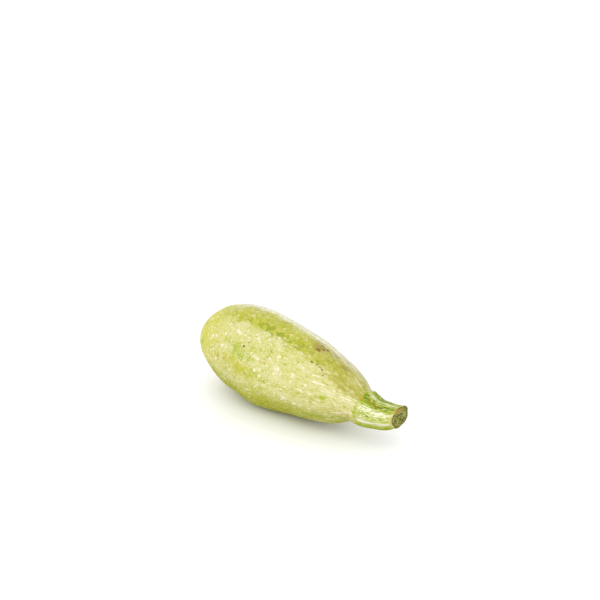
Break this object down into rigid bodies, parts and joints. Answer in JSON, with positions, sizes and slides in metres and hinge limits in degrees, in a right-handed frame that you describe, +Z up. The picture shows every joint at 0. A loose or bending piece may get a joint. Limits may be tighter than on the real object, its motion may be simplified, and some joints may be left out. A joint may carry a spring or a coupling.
{
  "type": "zucchini",
  "caption": "Pale green zucchini with a blunt blossom end and a short ribbed, cut stem, lying on its side on a small flat spot.",
  "frame": {"origin": "middle of the underside, at the height of the surface that the zucchini lies on", "axes": "+Z up; +X along the fruit towards the cut stem, and -X towards the blossom end"},
  "size_m": [0.1404, 0.05, 0.0508],
  "materials": {
    "skin": "satin"
  },
  "bodies": {
    "root": {"zucchini": "skin"}
  },
  "joints": []
}
